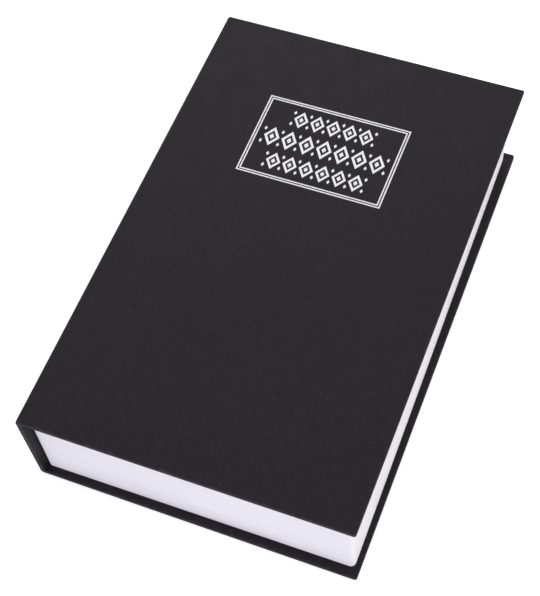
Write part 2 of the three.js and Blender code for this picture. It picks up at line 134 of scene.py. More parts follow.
PANEL_MIDDLE = Vector((-1.95, 56.6))
PANEL_WIDTH = 71.35
PANEL_HEIGHT = 46.85
RULE = 0.65  # width of each of the two rules
RULE_GAP = 0.6
FOIL = 0.04  # thickness of the foil
INNER_SHARE = 0.3  # size of the spot in a lozenge, as a share of the lozenge
SPOT_WIDTH = 1.5  # the spots between two lozenges
SPOT_HEIGHT = 2.4
SPOT_SHARE = 0.34  # their distance from the row's middle, as a share of a lozenge's height
ORNAMENT_ROWS = [
    # distance above the panel's middle, number of lozenges, their step, width, height and stroke
    (13.4, 5, 8.2, 7.2, 10.0, 1.1),
    (0.0, 7, 8.8, 7.8, 11.4, 1.2),
    (-13.4, 6, 8.2, 7.2, 10.0, 1.1),
]


# nodes


def add_node(tree, kind, inputs=None, **properties):
    """A new node with these properties. Each input is a value or the socket that feeds it."""
    made = tree.nodes.new(kind)
    for name, value in properties.items():
        setattr(made, name, value)
    for key, value in (inputs or {}).items():
        if isinstance(value, bpy.types.NodeSocket):
            tree.links.new(value, made.inputs[key])
        else:
            made.inputs[key].default_value = value
    return made


# materials

GRAIN = 0.55  # size of the leatherette's pebbled grain, which also shows through the foil
LOOKS_UP = 0.9  # a face looks up where the Z of its normal is over this
WHITE = (1.0, 1.0, 1.0, 1.0)


def srgb(red, green, blue):
    """A colour written 0 to 255 as seen, as the linear colour that a shader takes."""
    channels = []
    for value in (red, green, blue):
        share = value / 255
        channels.append(share / 12.92 if share <= 0.04045 else ((share + 0.055) / 1.055) ** 2.4)
    return (*channels, 1.0)


LEATHER_DARK = srgb(25, 21, 27)
LEATHER_PALE = srgb(30, 26, 33)
LEATHER_MOTTLE = srgb(37, 33, 40)
LEATHER_CREASE = srgb(35, 31, 38)
LEATHER_PEBBLE = srgb(22, 18, 24)
LEATHER_SCRATCH = srgb(58, 53, 61)
LEATHER_RUBBED = srgb(84, 80, 86)
PAPER_DARK = srgb(28, 27, 30)
PAPER_PALE = srgb(38, 37, 40)
PAPER_FIBRE = srgb(64, 62, 66)
PLASTIC_DARK = srgb(238, 236, 244)
PLASTIC_PALE = srgb(243, 241, 247)
PLASTIC_STREAK = srgb(230, 227, 238)
FOIL_BRIGHT = srgb(242, 242, 245)
FOIL_DULL = srgb(224, 224, 229)
COAT_DARK = srgb(23, 23, 25)
COAT_PALE = srgb(29, 29, 31)
COAT_SCUFF = srgb(52, 52, 55)


class Finish:
    """One material under construction: a Principled shader and the patterns that feed it."""

    def __init__(self, name, **settings):
        self.material = bpy.data.materials.new(name)
        self.material.use_nodes = True
        self.tree = self.material.node_tree
        self.shader = self.tree.nodes["Principled BSDF"]
        self.place = self.add("ShaderNodeTexCoord").outputs["Object"]
        for socket, value in settings.items():
            self.shader.inputs[socket.replace("_", " ")].default_value = value

    def add(self, kind, inputs=None, **properties):
        """A new node of this material."""
        return add_node(self.tree, kind, inputs, **properties)

    def drawn_out(self, lengths, turn=0):
        """The object's coordinates turned about Z, in degrees, and drawn out along the new axes."""
        return self.add("ShaderNodeMapping", {
            "Vector": self.place, "Scale": lengths, "Rotation": (0, 0, math.radians(turn)),
        }, vector_type="TEXTURE").outputs[0]

    def noise(self, size, detail=3.0, roughness=0.5, where=None):
        """Cloudy noise from 0 to 1, with patches of about this many millimetres."""
        return self.add("ShaderNodeTexNoise", {
            "Vector": where or self.place, "Scale": 1 / (size * MM),
            "Detail": detail, "Roughness": roughness,
        }).outputs[0]

    def pebbles(self, size, smooth=0.6, randomness=1.0):
        """Distance to the nearest of many scattered points, as on grained leather."""
        return self.add("ShaderNodeTexVoronoi", {
            "Vector": self.place, "Scale": 1 / (size * MM),
            "Smoothness": smooth, "Randomness": randomness,
        }, feature="SMOOTH_F1").outputs["Distance"]

    def specks(self, apart, radius):
        """Small round spots on faces that look up at rest, about one in each square of this size."""
        distance = self.add("ShaderNodeTexVoronoi", {
            "Vector": self.place, "Scale": 1 / (apart * MM),
        }, voronoi_dimensions="2D").outputs["Distance"]
        core = 0.6 * radius
        spots = self.spread(distance, core / apart, radius / apart, 1, 0)
        normal = self.add("ShaderNodeTexCoord").outputs["Normal"]
        upward = self.add("ShaderNodeSeparateXYZ", {0: normal}).outputs["Z"]
        return self.maths("MULTIPLY", spots, self.maths("GREATER_THAN", upward, LOOKS_UP))

    def spread(self, value, low=0.3, high=0.7, to_low=0.0, to_high=1.0):
        """The range from low to high drawn out, or in, to another range, and held at its ends."""
        return self.add("ShaderNodeMapRange", {
            "Value": value, "From Min": low, "From Max": high, "To Min": to_low, "To Max": to_high,
        }).outputs[0]

    def maths(self, operation, first, second):
        """The result of one operation on two values."""
        return self.add("ShaderNodeMath", {0: first, 1: second}, operation=operation).outputs[0]

    def blend(self, share, first, second):
        """Two colours, which the node takes as its inputs 6 and 7, mixed by share."""
        inputs = {0: share, 6: first, 7: second}
        return self.add("ShaderNodeMix", inputs, data_type="RGBA").outputs[2]

    def attribute(self, name):
        """A value that the mesh keeps at each point."""
        return self.add("ShaderNodeAttribute", attribute_name=name).outputs["Fac"]

    def colour(self, socket):
        """The colour comes from this socket."""
        self.tree.links.new(socket, self.shader.inputs["Base Color"])

    def roughness(self, socket):
        """And the roughness from this one."""
        self.tree.links.new(socket, self.shader.inputs["Roughness"])

    def bump(self, *layers):
        """Bump from layers of (height from 0 to 1, depth in millimetres, strength), put on last."""
        normal = None
        for height, depth, strength in layers:
            inputs = {"Height": height, "Distance": depth * MM, "Strength": strength}
            if normal:
                inputs["Normal"] = normal
            normal = self.add("ShaderNodeBump", inputs).outputs[0]
        self.tree.links.new(normal, self.shader.inputs["Normal"])
        return self.material


def black_leatherette():
    """Matte black paper-backed covering with a fine pebbled grain, rubbed paler along its edges."""
    finish = Finish("black leatherette", Specular_IOR_Level=0.16)
    grain = finish.pebbles(GRAIN)
    fine = finish.noise(0.22, detail=2)
    crease = finish.noise(2.4, detail=5, roughness=0.6)
    mottle = finish.noise(9, detail=4)
    patch = finish.noise(32, detail=2)
    cloud = finish.noise(70, detail=2)
    base = finish.blend(finish.spread(cloud), LEATHER_DARK, LEATHER_PALE)
    base = finish.blend(finish.spread(mottle, 0.35, 0.75, to_high=0.5), base, LEATHER_MOTTLE)
    base = finish.blend(finish.spread(crease, 0.38, 0.66), base, LEATHER_CREASE)
    base = finish.blend(finish.spread(grain, 0.2, 0.8, to_high=0.25), base, LEATHER_PEBBLE)

    # faint scratches in some places
    streaks = finish.noise(0.9, detail=3, where=finish.drawn_out((1, 9, 1), turn=24))
    scratched = finish.maths("MULTIPLY", finish.spread(streaks, 0.6, 0.68, to_high=0.3),
                             finish.spread(patch, 0.5, 0.62))
    base = finish.blend(scratched, base, LEATHER_SCRATCH)

    # edges rubbed paler, and specks of dust
    rubbing = finish.spread(finish.noise(2.4, detail=4), 0.45, 0.75, to_high=0.22)
    rubbed = finish.maths("MULTIPLY", finish.attribute("wear"), rubbing)
    dust = finish.maths("MULTIPLY", finish.specks(apart=34, radius=0.34), 0.7)
    worn = finish.maths("MAXIMUM", rubbed, dust)
    finish.colour(finish.blend(worn, base, LEATHER_RUBBED))
    finish.roughness(finish.spread(mottle, to_low=0.54, to_high=0.62))
    return finish.bump((grain, 0.05, 0.7), (crease, 0.12, 0.4), (fine, 0.02, 0.4))


def black_lining_paper():
    """Black paper with longer paler fibres that run from foot to head."""
    finish = Finish("black lining paper", Specular_IOR_Level=0.25)
    fibres = finish.noise(1.2, detail=5, roughness=0.7, where=finish.drawn_out((1, 3.3, 1)))
    cloud = finish.noise(25, detail=3)
    base = finish.blend(finish.spread(cloud), PAPER_DARK, PAPER_PALE)
    paler = finish.spread(fibres, 0.5, 0.75, to_high=0.45)
    finish.colour(finish.blend(paler, base, PAPER_FIBRE))
    finish.roughness(finish.spread(fibres, to_low=0.72, to_high=0.85))
    return finish.bump((fibres, 0.03, 0.4))


def white_page_plastic():
    """White moulded plastic, a little cool, with the soft unevenness of a moulded wall."""
    finish = Finish("white page plastic", Specular_IOR_Level=0.4)
    cloud = finish.noise(40, detail=3)
    streak = finish.noise(3, detail=4, where=finish.drawn_out((17, 17, 1)))
    base = finish.blend(finish.spread(cloud), PLASTIC_DARK, PLASTIC_PALE)
    greyer = finish.spread(streak, 0.45, 0.75, to_high=0.5)
    finish.colour(finish.blend(greyer, base, PLASTIC_STREAK))
    finish.roughness(finish.spread(cloud, to_low=0.42, to_high=0.56))
    return finish.bump((streak, 0.06, 0.35), (finish.noise(0.7), 0.02, 0.25))


def silver_foil():
    """Stamped silver foil: bright, softly brushed by the grain below it."""
    finish = Finish("silver foil", Metallic=0.12)
    press = finish.pebbles(GRAIN)
    patch = finish.noise(1.4, detail=4)
    finish.colour(finish.blend(finish.spread(patch, 0.35), FOIL_BRIGHT, FOIL_DULL))
    finish.roughness(finish.spread(patch, to_low=0.3, to_high=0.5))
    return finish.bump((press, 0.03, 0.3))


def black_powder_coat():
    """Black baked paint on sheet steel, with fine orange peel and a few paler scuffs."""
    finish = Finish("black powder coat", Specular_IOR_Level=0.5)
    peel = finish.noise(1.1, detail=3)
    cloud = finish.noise(30, detail=3)
    scuffs = finish.spread(finish.noise(4, detail=6, roughness=0.7), 0.66, 0.78, to_high=0.3)
    base = finish.blend(finish.spread(cloud), COAT_DARK, COAT_PALE)
    finish.colour(finish.blend(scuffs, base, COAT_SCUFF))
    finish.roughness(finish.spread(cloud, to_low=0.38, to_high=0.5))
    return finish.bump((peel, 0.06, 0.45), (finish.noise(0.35, detail=1), 0.015, 0.3))


def metal(name, bright, dull, rough, streaks, depth=0.004):
    """A plated metal whose tint and gloss vary in soft patches, with fine drawn lines."""
    finish = Finish(name, Metallic=1.0)
    patch = finish.noise(5, detail=5)
    lines = finish.noise(0.3, detail=4, where=finish.drawn_out(streaks))
    finish.colour(finish.blend(finish.spread(patch, 0.35), bright, dull))
    finish.roughness(finish.spread(lines, to_low=rough, to_high=rough + 0.14))
    return finish.bump((lines, depth, 0.5))


leatherette = black_leatherette()
lining_paper = black_lining_paper()
page_plastic = white_page_plastic()
foil = silver_foil()
powder_coat = black_powder_coat()
zinc = metal("zinc plate", srgb(196, 198, 200), srgb(168, 171, 176), 0.3, (1, 12, 1))
chrome = metal("chrome plate", srgb(218, 219, 222), srgb(204, 205, 209), 0.12, (1, 12, 1), 0.0006)
brass = metal("stamped brass", srgb(214, 182, 112), srgb(188, 152, 86), 0.28, (1, 10, 1))
nickel = metal("nickel plate", srgb(182, 180, 174), srgb(158, 155, 147), 0.3, (10, 1, 1))


# building meshes

SHARP_ANGLE = 40  # degrees from which an edge shades sharply
SAME_POINT = 0.0005  # points this close together are one point


def make_piece(name, points, faces, material, wear=None):
    """A mesh object from points in millimetres, its faces turned outwards."""
    mesh = bpy.data.meshes.new(name)
    mesh.from_pydata([Vector(point) * MM for point in points], [], faces)
    if wear:
        mesh.attributes.new("wear", "FLOAT", "POINT").data.foreach_set("value", wear)
    return finish_mesh(name, mesh, material)


def finish_mesh(name, mesh, material, sharp_angle=SHARP_ANGLE):
    """The mesh as an object, its doubles merged, its faces turned outwards and smoothly shaded."""
    shell = bmesh.new()
    shell.from_mesh(mesh)
    bmesh.ops.remove_doubles(shell, verts=shell.verts, dist=SAME_POINT * MM)
    bmesh.ops.recalc_face_normals(shell, faces=shell.faces)
    shell.to_mesh(mesh)
    shell.free()
    mesh.polygons.foreach_set("use_smooth", [True] * len(mesh.polygons))
    mesh.set_sharp_from_angle(angle=math.radians(sharp_angle))
    mesh.materials.clear()
    mesh.materials.append(material)
    piece = bpy.data.objects.new(name, mesh)
    bpy.context.scene.collection.objects.link(piece)
    return piece


def lofted(name, sections, material, wear=None, closed=False):
    """Closed outlines of equal count joined one after another, with flat ends or round in a ring."""
    count = len(sections[0])
    points = [point for section in sections for point in section]
    faces = []
    joins = len(sections) if closed else len(sections) - 1
    for i in range(joins):
        start, after = i * count, (i + 1) % len(sections) * count
        for j in range(count):
            k = (j + 1) % count
            faces.append((start + j, start + k, after + k, after + j))
    if not closed:
        faces.append(tuple(range(count)))
        faces.append(tuple(range(len(points) - count, len(points))))
    return make_piece(name, points, faces, material, wear)


def settle(piece, body, slot, *nodes):
    """The piece rides on a body and stands for these CAD nodes, which are hidden. The slot is not
    used.
    """
    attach(piece, body)
    if nodes:
        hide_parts(*nodes)


# the case


def end_round(distance, radius):
    """How far a rounded end has drawn in, at this distance from its tip."""
    if distance >= radius:
        return 0.0
    return radius - math.sqrt(radius**2 - (radius - distance) ** 2)


def arc(middle, radius, start, end, steps=ROUND_STEPS):
    """Points (x, z) round a middle, from one angle to another, in degrees."""
    angles = [math.radians(start + (end - start) * i / steps) for i in range(steps + 1)]
    return [(middle[0] + radius * math.cos(a), middle[1] + radius * math.sin(a)) for a in angles]


def end_wear(distance):
    """1 on a board's end and just in from it, and 0 beyond."""
    return 1.0 if distance < BOARD_EDGE + WEAR_REACH / 2 else 0.0


def end_distances():
    """Distances from a board's end at which its outline is drawn, the finest where it is round."""
    rounds = [
        radius * (1 - math.sin(math.radians(angle)))
        for radius in (BOARD_EDGE, SHARP_CORNER, BOARD_CORNER, EAR_ROUND)
        for angle in range(90, -1, -90 // ROUND_STEPS)
    ]
    mitre = [MITRE_START - MITRE_WIDTH, MITRE_START, TURN_IN, TURN_IN + MITRE_WIDTH]
    ear_rows = [EAR_DEPTH * i / EAR_ROWS for i in range(1, EAR_ROWS + 1)]
    return sorted({round(d, 4) for d in [*rounds, BOARD_EDGE + WEAR_REACH, *mitre, *ear_rows]})


def cover_outline(distance, fold, corner):
    """(x, height over the outer face, wear) round a covered board, near its head or foot end."""
    drawn_in = end_round(distance, BOARD_EDGE)
    fore = FORE_X - end_round(distance, corner)
    radius = BOARD_EDGE - drawn_in
    worn = end_wear(distance)
    support = min(FORE_X - WEAR_REACH, fore) - BOARD_EDGE
    left = SPINE_X + SKIN + drawn_in
    inner = BOARD - drawn_in
    mitre = FORE_X - min(max(distance, MITRE_START), TURN_IN)
    mitre_open = MITRE_START <= distance <= TURN_IN
    seam = inner - (MITRE_DEPTH if mitre_open else 0.0)
    step = SPINE_X + fold + LAP
    ear_middle, ear_end = SPINE_X + EAR_REACH, SPINE_X + 2 * EAR_REACH
    outline = [(x, drawn_in, worn) for x in (step, ear_middle, ear_end, support)]
    outline += [(x, z, 1.0) for x, z in arc((fore - BOARD_EDGE, BOARD_EDGE), radius, -90, 0)]
    outline += [(x, z, 1.0) for x, z in arc((fore - BOARD_EDGE, BOARD - BOARD_EDGE), radius, 0, 90)]
    outline += [
        (support, inner, worn),
        (mitre + MITRE_WIDTH, inner, worn),
        (mitre, seam, worn),
        (mitre - MITRE_WIDTH, inner, worn),
        (ear_end, inner, worn),
        (ear_middle, inner, worn),
        (CREASE_X + BOARD_EDGE, inner, worn),
        (CREASE_X, BOARD, 0.0),
    ]
    groove = (left + GROOVE_EDGE, BOARD - GROOVE_EDGE)
    edge = arc(groove, GROOVE_EDGE, 90, 180, GROOVE_STEPS)
    outline += [(x, z, GROOVE_WEAR) for x, z in edge]
    bend = arc((SPINE_X + fold, fold), fold - SKIN - drawn_in, 180, 270)
    outline += [(x, z, 0.0) for x, z in bend]
    outline.append((step, SKIN + drawn_in, 0.0))
    return outline


def spine_outline(distance):
    """(x, z, wear) round the covered spine board, which stands between the two covers."""
    drawn_in = end_round(distance, BOARD_EDGE)
    worn = SPINE_WEAR * end_wear(distance)
    outer = SPINE_X + drawn_in
    under = outer + SKIN
    low, high = BOARD, THICKNESS - BOARD
    return [
        (outer, low + LAP, worn),
        (outer, high - LAP, worn),
        (under, high - LAP, 0.0),
        (under, high, 0.0),
        (CREASE_X, high, 0.0),
        (CREASE_X - drawn_in, high - BOARD_EDGE, worn),
        (CREASE_X - drawn_in, low + BOARD_EDGE, worn),
        (CREASE_X, low, 0.0),
        (under, low, 0.0),
        (under, low + LAP, 0.0),
    ]


def fold_outline(distance, fold):
    """(x, height, wear) round the strip of leatherette that wraps a corner between two boards."""
    drawn_in = end_round(distance, BOARD_EDGE)
    worn = end_wear(distance)
    middle = (SPINE_X + fold, fold)

    def face(depth, wear):
        """The strip's outer or inner face, from the cover's end of it to the spine's."""
        bend = arc(middle, fold - depth, 270, 180, 2 * ROUND_STEPS)
        return [
            (SPINE_X + fold + LAP, depth, worn),
            *[(x, z, wear) for x, z in bend],
            (SPINE_X + depth, BOARD + LAP, worn),
        ]

    return face(drawn_in, 1.0) + face(drawn_in + SKIN, 0.0)[::-1]


def ear(x, y, z, distance):
    """How far a point near the front cover's spine corner stands out past the foot edge."""
    if y > 0:
        return 0.0
    along = math.exp((SPINE_X - x) / EAR_REACH)
    rise = min(max((z - EAR_START) / (THICKNESS - EAR_START), 0.0), 1.0)
    return EAR * along * rise * max(1 - distance / EAR_DEPTH, 0.0)


def softened(x, y, z, distance):
    """How far the front cover's foot edge is rounded down, the most at its spine corner."""
    if y > 0 or z < THICKNESS - BOARD / 2:
        return 0.0
    radius = BOARD_EDGE + (EAR_ROUND - BOARD_EDGE) * math.exp((SPINE_X - x) / EAR_REACH)
    return end_round(distance, radius) - end_round(distance, BOARD_EDGE)


def rounded_in(x, y, distance):
    """How far the spine side is rounded in at the head, beyond the rounding of its edges."""
    if y < 0 or x > CREASE_X:
        return 0.0
    share = 1 - (x - SPINE_X) / BOARD
    return share * (end_round(distance, BOARD_CORNER) - end_round(distance, BOARD_EDGE))


def along_the_height(name, outline, lift, foot_sizes=(), head_sizes=None):
    """A piece of the case from foot to head: its outline at each distance from the nearer end.

    Lift turns a height of the outline into Z. The outline gets the foot's sizes on the foot half
    and the head's, where given, on the head half.
    """
    distances = end_distances()
    foot = [(-HEAD_Y + d, d, foot_sizes) for d in distances]
    head = [(HEAD_Y - d, d, head_sizes or foot_sizes) for d in reversed(distances)]
    sections, wear = [], []
    for y, distance, sizes in foot + head:
        section = []
        for x, height, worn in outline(distance, *sizes):
            z = lift(height)
            section.append((
                x + rounded_in(x, y, distance),
                y - ear(x, y, z, distance),
                z - softened(x, y, z, distance),
            ))
            wear.append(worn)
        sections.append(section)
    return lofted(name, sections, leatherette, wear)


def from_below(height):
    """Z of a height measured from the back cover's outer face."""
    return height


def from_above(height):
    """Z of a height measured down from the front cover's outer face."""
    return THICKNESS - height


def make_case():
    """The covered boards and the strips of leatherette that join them at the two folds."""
    back_sizes = (LOWER_FOLD, BOARD_CORNER)
    back = along_the_height("back_cover", cover_outline, from_below, back_sizes)
    settle(back, "base", "book_cloth", "back_wrap", "back_board", "back_lining")
    spine = along_the_height("spine", spine_outline, from_below)
    settle(spine, "spine", "book_cloth", "spine_wrap", "spine_board")
    foot_sizes, head_sizes = (UPPER_FOLD, BOARD_CORNER), (UPPER_FOLD, SHARP_CORNER)
    front = along_the_height("front_cover", cover_outline, from_above, foot_sizes, head_sizes)
    settle(front, "front_cover", "book_cloth", "front_wrap", "front_board")

    lower = along_the_height("lower_fold", fold_outline, from_below, (LOWER_FOLD,))
    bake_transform(lower)
    upper = along_the_height("upper_fold", fold_outline, from_above, (UPPER_FOLD,))
    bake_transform(upper)


def paper_sheet(name, columns, rows, height, place):
    """A closed sheet over a grid of columns and rows; place puts (column, row, height) in space."""
    top = [place(c, r, height(c, r)) for r in rows for c in columns]
    bottom = [place(c, r, 0.0) for r in rows for c in columns]
    wide, deep, lower = len(columns), len(rows), len(top)
    faces = []
    for j in range(deep - 1):
        for i in range(wide - 1):
            corner = j * wide + i
            quad = (corner, corner + 1, corner + wide + 1, corner + wide)
            faces.append(quad)
            faces.append(tuple(lower + k for k in reversed(quad)))
    rim = list(range(wide))
    rim += [j * wide + wide - 1 for j in range(1, deep)]
    rim += [(deep - 1) * wide + i for i in range(wide - 2, -1, -1)]
    rim += [j * wide for j in range(deep - 2, 0, -1)]
    for a, b in zip(rim, rim[1:] + rim[:1]):
        faces.append((a, b, lower + b, lower + a))
    return make_piece(name, top + bottom, faces, lining_paper)


def make_linings():
    """The lining papers inside the front cover and the spine."""
    fore = FORE_X - PAPER_BORDER
    end = HEAD_Y - PAPER_BORDER
    spine_side = SPINE_X + PAPER_BORDER
    ledge_x, ledge_y = FORE_X - TURN_IN, HEAD_Y - TURN_IN
    columns = [spine_side, ledge_x - PAPER_SLOPE, ledge_x, fore]
    rows = [-end, -ledge_y, -ledge_y + PAPER_SLOPE, ledge_y - PAPER_SLOPE, ledge_y, end]

    def over_turn_ins(x, y):
        return PAPER_OVER_TURN_IN if x >= ledge_x or abs(y) >= ledge_y else PAPER

    inner_face = THICKNESS - BOARD
    sheet = paper_sheet("front_lining_sheet", columns, rows, over_turn_ins,
                        lambda x, y, h: (x, y, inner_face - h))
    settle(sheet, "front_cover", "lining_paper", "front_lining")

    levels = [BOARD + PAPER_BORDER / 2, THICKNESS - BOARD - PAPER_BORDER / 2]
    strip = paper_sheet("spine_lining_sheet", levels, [-end, end], lambda z, y: SPINE_PAPER,
                        lambda z, y, h: (CREASE_X + h, y, z))
    settle(strip, "spine", "lining_paper", "spine_lining")


# the silver stamping


def rectangle_ring(middle, width, height, band, z0, z1):
    """A flat rectangular frame with square corners."""
    sections = []
    for inset, z in ((0, z0), (0, z1), (band, z1), (band, z0)):
        half_x, half_y = width / 2 - inset, height / 2 - inset
        corners = ((-1, -1), (1, -1), (1, 1), (-1, 1))
        sections.append([(middle.x + a * half_x, middle.y + b * half_y, z) for a, b in corners])
    return lofted("ring", sections, foil, closed=True)


def lozenge(width, height, z, scale=1):
    """The four tips of a lozenge round the origin, at a level."""
    tips = ((-width, 0), (0, -height), (width, 0), (0, height))
    return [(x / 2 * scale, y / 2 * scale, z) for x, y in tips]


def lozenge_ring(width, height, band):
    """A lozenge drawn in one stroke of foil, round the origin."""
    side = math.hypot(width, height) / 2
    shrink = 1 - band * side / (width * height / 4)
    levels = ((1, 0), (1, FOIL), (shrink, FOIL), (shrink, 0))
    sections = [lozenge(width, height, z, scale) for scale, z in levels]
    return lofted("lozenge", sections, foil, closed=True)


def lozenge_spot(width, height):
    """A small solid lozenge of foil, round the origin."""
    return lofted("spot", [lozenge(width, height, z) for z in (0, FOIL)], foil)


def join(name, parts):
    """Several piece objects as one."""
    shell = bmesh.new()
    for part in parts:
        shell.from_mesh(part.data)
    mesh = bpy.data.meshes.new(name)
    shell.to_mesh(mesh)
    shell.free()
    material = parts[0].data.materials[0]
    for part in parts:
        bpy.data.objects.remove(part)
    return finish_mesh(name, mesh, material)


# shapes made by node trees


def geometry_tree(name, inputs):
    """A new tree with these named inputs, each of a kind, and the sockets that give them."""
    tree = bpy.data.node_groups.new(name, "GeometryNodeTree")
    sockets = {"Geometry": "Geometry", **inputs}
    for title, kind in sockets.items():
        tree.interface.new_socket(title, in_out="INPUT", socket_type="NodeSocket" + kind)
    tree.interface.new_socket("Geometry", in_out="OUTPUT", socket_type="NodeSocketGeometry")
    return tree, add_node(tree, "NodeGroupInput").outputs


def end_tree(tree, geometry, material):
    """The tree's last nodes, which give its geometry a material and hand it out."""
    dress = add_node(tree, "GeometryNodeSetMaterial", {"Geometry": geometry, "Material": material})
    add_node(tree, "NodeGroupOutput", {"Geometry": dress.outputs["Geometry"]})


def row_of_copies_tree():
    """Copies of one motif, set at equal steps from a start."""
    tree, asked = geometry_tree("row of copies", {
        "Motif": "Object", "Count": "Int", "Start": "Vector", "Step": "Vector",
        "Material": "Material",
    })
    line = add_node(tree, "GeometryNodeMeshLine", {
        "Count": asked["Count"], "Start Location": asked["Start"], "Offset": asked["Step"],
    })
    motif = add_node(tree, "GeometryNodeObjectInfo", {"Object": asked["Motif"]})
    copies = add_node(tree, "GeometryNodeInstanceOnPoints", {
        "Points": line.outputs["Mesh"], "Instance": motif.outputs["Geometry"],
    })
    real = add_node(tree, "GeometryNodeRealizeInstances", {"Geometry": copies.outputs["Instances"]})
    end_tree(tree, real.outputs["Geometry"], asked["Material"])
    return tree


row_of_copies = row_of_copies_tree()


def grown(name, tree, values, material, sharp_angle=SHARP_ANGLE):
    """What a node tree makes from its named inputs, as a plain mesh piece."""
    seed = bpy.data.objects.new(name + "_seed", bpy.data.meshes.new(name + "_seed"))
    bpy.context.scene.collection.objects.link(seed)
    modifier = seed.modifiers.new("nodes", "NODES")
    modifier.node_group = tree
    for item in tree.interface.items_tree:
        if item.item_type == "SOCKET" and item.in_out == "INPUT" and item.name in values:
            modifier[item.identifier] = values[item.name]
    bpy.context.view_layer.update()
    shown = seed.evaluated_get(bpy.context.evaluated_depsgraph_get())
    mesh = bpy.data.meshes.new_from_object(shown)
    bpy.data.objects.remove(seed)
    return finish_mesh(name, mesh, material, sharp_angle)


def copies_in_a_row(name, motif, count, start, step, material):
    """Copies of a motif as one piece. The motif itself goes."""
    values = {
        "Motif": motif, "Count": count, "Start": Vector(start) * MM, "Step": Vector(step) * MM,
        "Material": material,
    }
    made = grown(name, row_of_copies, values, material)
    bpy.data.objects.remove(motif)
    return made


def ornament_row(rise, count, step, width, height, stroke):
    """A row of lozenges with a spot in each, and with spots above and below its gaps and ends."""
    first = PANEL_MIDDLE.x - step * (count - 1) / 2
    y = PANEL_MIDDLE.y + rise
    start, shift = (first, y, THICKNESS), (step, 0, 0)
    ring = lozenge_ring(width, height, stroke)
    inner = lozenge_spot(width * INNER_SHARE, height * INNER_SHARE)
    parts = [
        copies_in_a_row("rings", ring, count, start, shift, foil),
        copies_in_a_row("inners", inner, count, start, shift, foil),
    ]
    for side in (-1, 1):
        spot = lozenge_spot(SPOT_WIDTH, SPOT_HEIGHT)
        start = (first - step / 2, y + side * height * SPOT_SHARE, THICKNESS)
        parts.append(copies_in_a_row("spots", spot, count + 1, start, shift, foil))
    return parts


def make_stamping():
    """The panel on the front cover: two rules, one inside the other, round rows of lozenges."""
    low, high = THICKNESS, THICKNESS + FOIL
    parts = [
        rectangle_ring(PANEL_MIDDLE, PANEL_WIDTH - less, PANEL_HEIGHT - less, RULE, low, high)
        for less in (0, 2 * (RULE + RULE_GAP))
    ]
    for row in ORNAMENT_ROWS:
        parts += ornament_row(*row)
    stamping = join("silver_stamping", parts)
    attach(stamping, "front_cover")


# the page block


def turned_block(x, y):
    """A point of the block's outer walls, which sit a little out of square between the covers."""
    middle_x = (block_low.x + block_high.x) / 2
    share = (x - block_low.x) / (block_high.x - block_low.x)
    return x - (FORE_LEAN * y + FORE_SET) * share, y + BLOCK_TURN * (x - middle_x)


def rounded_rectangle(inset, spine_corner, fore_corner):
    """Points (x, y) round a rounded rectangle set in from the block's outside."""
    x0, x1 = block_low.x + inset, block_high.x - inset
    y0, y1 = block_low.y + inset, block_high.y - inset
    near, far = spine_corner, fore_corner
    turns = [
        ((x1 - far, y0 + far), far, -90), ((x1 - far, y1 - far), far, 0),
        ((x0 + near, y1 - near), near, 90), ((x0 + near, y0 + near), near, 180),
    ]
    points = []
    for middle, radius, start in turns:
        points += arc(middle, radius, start, start + 90, CORNER_STEPS)
    return points


def outer_loop(inset, z):
    """A loop of the outer walls: its corners get tighter as it is set in."""
    corners = (max(corner - inset, WALL_ROUND) for corner in (BLOCK_SPINE_CORNER, BLOCK_FORE_CORNER))
    return [(*turned_block(x, y), z) for x, y in rounded_rectangle(inset, *corners)]


def opening_loop(inset, z):
    """A loop round the opening that the box's rim sits under."""
    corner = OPENING_CORNER + BLOCK_LIP - inset
    return [(x, y, z) for x, y in rounded_rectangle(inset, corner, corner)]


def make_page_block():
    """The moulded frame that looks like the page edges: a wall, a lip over it, and its skirt."""
    low, top = block_low.z, block_high.z
    low_edge = arc((BLOCK_EDGE, low + BLOCK_EDGE), BLOCK_EDGE, 270, 180, EDGE_STEPS)
    top_edge = arc((BLOCK_EDGE, top - BLOCK_EDGE), BLOCK_EDGE, 180, 90, EDGE_STEPS)
    lip_edge = arc((BLOCK_LIP - BLOCK_EDGE, top - BLOCK_EDGE), BLOCK_EDGE, 90, 0, EDGE_STEPS)
    loops = [outer_loop(inset, z) for inset, z in low_edge + top_edge]
    loops += [opening_loop(inset, z) for inset, z in lip_edge]
    skirt_inset = BLOCK_LIP - SKIRT_WALL
    skirt_low = top - SKIRT_DEPTH
    loops += [
        opening_loop(BLOCK_LIP, skirt_low),
        opening_loop(skirt_inset, skirt_low),
        opening_loop(skirt_inset, top - LIP_THICKNESS),
        outer_loop(BLOCK_WALL, top - LIP_THICKNESS),
        outer_loop(BLOCK_WALL, low),
    ]
    block = lofted("page_block", loops, page_plastic, closed=True)
    settle(block, "base", "page_plastic", "page_frame")


